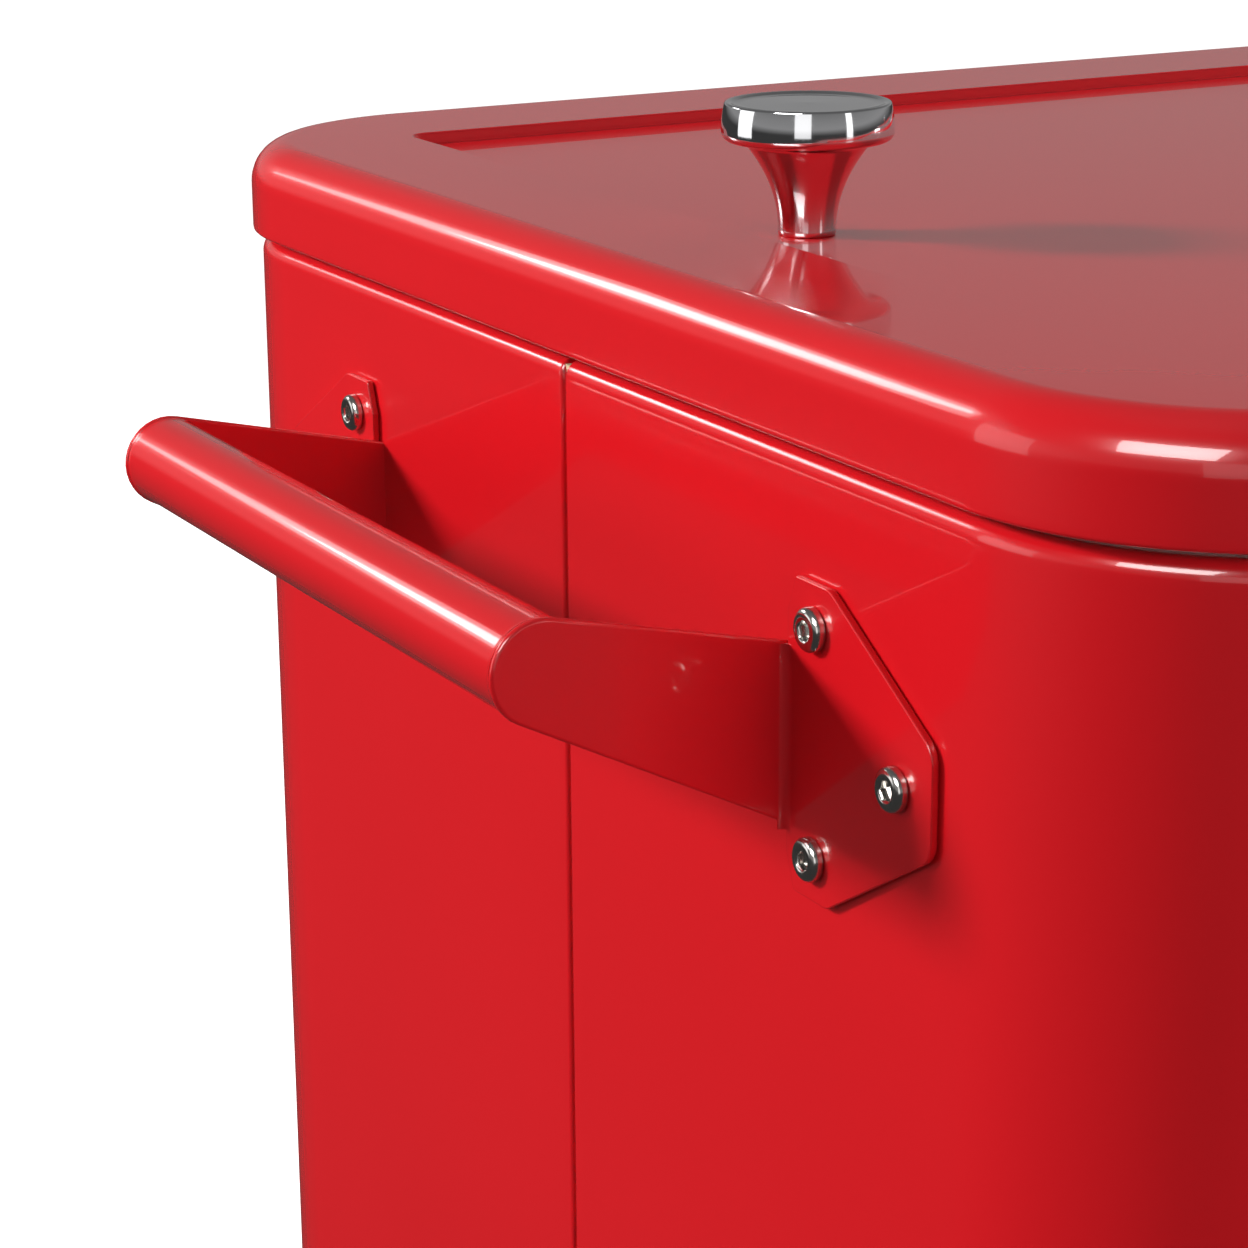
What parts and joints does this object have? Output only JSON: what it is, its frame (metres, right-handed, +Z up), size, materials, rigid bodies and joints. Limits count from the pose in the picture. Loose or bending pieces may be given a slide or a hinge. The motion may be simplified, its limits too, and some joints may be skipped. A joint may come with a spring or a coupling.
{
  "type": "rolling patio cooler chest",
  "caption": "Insulated painted-steel cooler chest on a leg frame with casters, split hinged lid, towel-bar handles, bottle opener, cap catcher and drain.",
  "frame": {"origin": "on the floor below the middle of the bounding box", "axes": "+X along the chest towards the drain end, -Y to the front with the opener, +Z up"},
  "size_m": [0.9536, 0.5024, 0.889],
  "materials": {
    "red_paint": "gloss",
    "white_plastic": "satin",
    "foam": "matte",
    "grey_rubber": "matte",
    "polished_chrome": "polished",
    "stainless": "satin",
    "zinc_steel": "satin",
    "black_plastic": "satin",
    "wheel_rubber": "matte"
  },
  "bodies": {
    "cooler_body": {"shell_front": "red_paint", "shell_back": "red_paint", "bottom_pan": "red_paint", "insulation": "foam", "liner": "white_plastic", "centre_bar": "red_paint", "hinge_bar_leaves": "polished_chrome", "left_handle_bar": "red_paint", "left_handle_bracket_front": "red_paint", "left_handle_bracket_back": "red_paint", "right_handle_bar": "red_paint", "right_handle_bracket_front": "red_paint", "right_handle_bracket_back": "red_paint", "button_screws": "stainless", "rivet_nuts": "zinc_steel", "drain_spout": "black_plastic", "drain_nut": "black_plastic", "bottle_opener": "polished_chrome", "front_left_leg": "red_paint", "front_right_leg": "red_paint", "back_left_leg": "red_paint", "back_right_leg": "red_paint", "leg_end_plugs": "black_plastic", "shelf": "red_paint", "frame_bolts": "zinc_steel", "caster_stems": "zinc_steel"},
    "left_lid": {"left_lid_shell": "red_paint", "left_lid_inner": "white_plastic", "left_lid_foam": "foam", "left_lid_gasket": "grey_rubber", "left_knob": "polished_chrome", "left_knob_screw": "stainless", "left_hinge_leaves": "polished_chrome", "left_hinge_pins": "stainless"},
    "right_lid": {"right_lid_shell": "red_paint", "right_lid_inner": "white_plastic", "right_lid_foam": "foam", "right_lid_gasket": "grey_rubber", "right_knob": "polished_chrome", "right_knob_screw": "stainless", "right_hinge_leaves": "polished_chrome", "right_hinge_pins": "stainless"},
    "cap_catcher": {"cap_catcher": "red_paint"},
    "drain_seal": {"drain_cap_seal": "grey_rubber"},
    "drain_cap": {"drain_cap": "black_plastic"},
    "front_left_caster": {"front_left_caster_fork": "zinc_steel", "front_left_caster_axle": "zinc_steel"},
    "front_left_wheel": {"front_left_caster_wheel": "wheel_rubber"},
    "front_left_brake": {"front_left_brake_lever": "black_plastic"},
    "front_right_caster": {"front_right_caster_fork": "zinc_steel", "front_right_caster_axle": "zinc_steel"},
    "front_right_wheel": {"front_right_caster_wheel": "wheel_rubber"},
    "front_right_brake": {"front_right_brake_lever": "black_plastic"},
    "back_left_caster": {"back_left_caster_fork": "zinc_steel", "back_left_caster_axle": "zinc_steel"},
    "back_left_wheel": {"back_left_caster_wheel": "wheel_rubber"},
    "back_right_caster": {"back_right_caster_fork": "zinc_steel", "back_right_caster_axle": "zinc_steel"},
    "back_right_wheel": {"back_right_caster_wheel": "wheel_rubber"}
  },
  "joints": [
    {"name": "left_lid_hinge", "type": "hinge", "parent": "cooler_body", "child": "left_lid", "pos_m": [-0.01675, 0.02125, 0.8642], "axis": [0, 1, 0], "range_deg": [0, 85]},
    {"name": "right_lid_hinge", "type": "hinge", "parent": "cooler_body", "child": "right_lid", "pos_m": [0.01675, 0.02125, 0.8642], "axis": [0, -1, 0], "range_deg": [0, 85]},
    {"name": "cap_catcher_lift", "type": "slide", "parent": "cooler_body", "child": "cap_catcher", "axis": [0, 0, 1], "range_m": [0, 0.01]},
    {"name": "drain_cap_travel", "type": "slide", "parent": "cooler_body", "child": "drain_seal", "axis": [1, 0, 0], "range_m": [0, 0.006]},
    {"name": "drain_cap_turn", "type": "hinge", "parent": "drain_seal", "child": "drain_cap", "pos_m": [0.4315, -0.09375, 0.582], "axis": [1, 0, 0], "range_deg": [0, 720]},
    {"name": "front_left_swivel", "type": "hinge", "parent": "cooler_body", "child": "front_left_caster", "pos_m": [-0.35, -0.15375, 0.057], "axis": [0, 0, 1], "continuous": true},
    {"name": "front_left_roll", "type": "hinge", "parent": "front_left_caster", "child": "front_left_wheel", "pos_m": [-0.368, -0.15375, 0.025], "axis": [0, 1, 0], "continuous": true},
    {"name": "front_left_brake_press", "type": "hinge", "parent": "front_left_caster", "child": "front_left_brake", "pos_m": [-0.362, -0.15375, 0.053], "axis": [0, -1, 0], "range_deg": [0, 8]},
    {"name": "front_right_swivel", "type": "hinge", "parent": "cooler_body", "child": "front_right_caster", "pos_m": [0.35, -0.15375, 0.057], "axis": [0, 0, 1], "continuous": true},
    {"name": "front_right_roll", "type": "hinge", "parent": "front_right_caster", "child": "front_right_wheel", "pos_m": [0.332, -0.15375, 0.025], "axis": [0, 1, 0], "continuous": true},
    {"name": "front_right_brake_press", "type": "hinge", "parent": "front_right_caster", "child": "front_right_brake", "pos_m": [0.338, -0.15375, 0.053], "axis": [0, -1, 0], "range_deg": [0, 8]},
    {"name": "back_left_swivel", "type": "hinge", "parent": "cooler_body", "child": "back_left_caster", "pos_m": [-0.35, 0.19625, 0.057], "axis": [0, 0, 1], "continuous": true},
    {"name": "back_left_roll", "type": "hinge", "parent": "back_left_caster", "child": "back_left_wheel", "pos_m": [-0.368, 0.19625, 0.025], "axis": [0, 1, 0], "continuous": true},
    {"name": "back_right_swivel", "type": "hinge", "parent": "cooler_body", "child": "back_right_caster", "pos_m": [0.35, 0.19625, 0.057], "axis": [0, 0, 1], "continuous": true},
    {"name": "back_right_roll", "type": "hinge", "parent": "back_right_caster", "child": "back_right_wheel", "pos_m": [0.332, 0.19625, 0.025], "axis": [0, 1, 0], "continuous": true}
  ],
  "couplings": [
    {"joint": "drain_cap_travel", "follows": "drain_cap_turn", "m_per_rad": 0.00047746}
  ]
}
